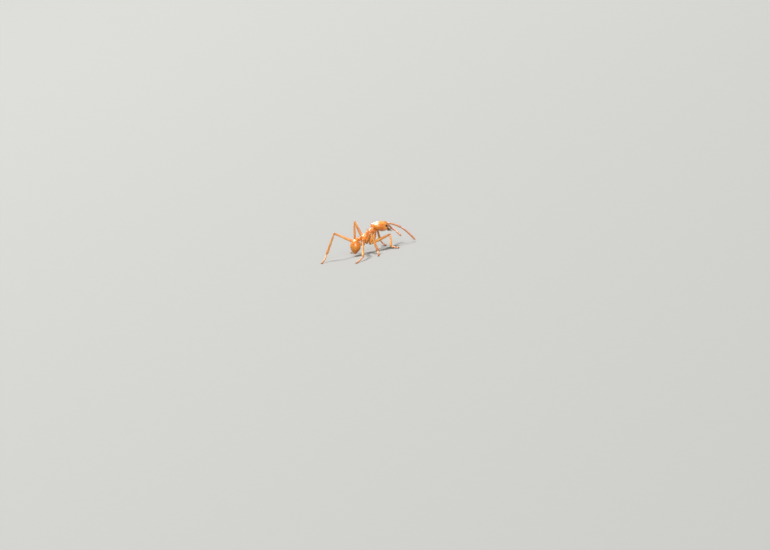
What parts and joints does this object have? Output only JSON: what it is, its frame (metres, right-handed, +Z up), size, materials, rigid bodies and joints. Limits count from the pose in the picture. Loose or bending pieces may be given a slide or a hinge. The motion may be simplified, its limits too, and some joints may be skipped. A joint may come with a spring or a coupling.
{
  "type": "leafcutter ant",
  "caption": "Leafcutter ant worker, life size, standing on its feet with head raised, feelers forward and down, spined back and heart-shaped head.",
  "frame": {"origin": "on the floor the feet stand on, under the middle of the ant's bounding box", "axes": "+X towards the head, +Y to the ant's left, +Z up"},
  "size_m": [0.0188, 0.0172, 0.0065],
  "materials": {
    "amber": "smooth shiny cuticle, translucent orange",
    "honey": "satin cuticle, paler yellow orange, bristly",
    "rose": "satin cuticle with fine down, pinkish orange",
    "mandible": "hard dark red-brown cuticle, polished at the teeth",
    "eye": "black, finely faceted"
  },
  "bodies": {
    "root": {"coxa_front_left": "amber", "coxa_front_right": "amber", "coxa_hind_left": "amber", "coxa_hind_right": "amber", "coxa_mid_left": "amber", "coxa_mid_right": "amber", "eye_left": "eye", "eye_right": "eye", "femur_front_left": "honey", "femur_front_right": "honey", "femur_hind_left": "honey", "femur_hind_right": "honey", "femur_mid_left": "honey", "femur_mid_right": "honey", "funiculus_left": "rose", "funiculus_right": "rose", "gaster_1": "amber", "gaster_2": "amber", "gaster_3": "amber", "gaster_4": "amber", "head": "amber", "mandible_left": "mandible", "mandible_right": "mandible", "mesothorax": "amber", "petiole": "amber", "postpetiole": "amber", "pronotum": "amber", "propodeum": "amber", "scape_left": "rose", "scape_right": "rose", "tarsus_front_left": "honey", "tarsus_front_right": "honey", "tarsus_hind_left": "honey", "tarsus_hind_right": "honey", "tarsus_mid_left": "honey", "tarsus_mid_right": "honey", "tibia_front_left": "honey", "tibia_front_right": "honey", "tibia_hind_left": "honey", "tibia_hind_right": "honey", "tibia_mid_left": "honey", "tibia_mid_right": "honey"}
  },
  "joints": []
}
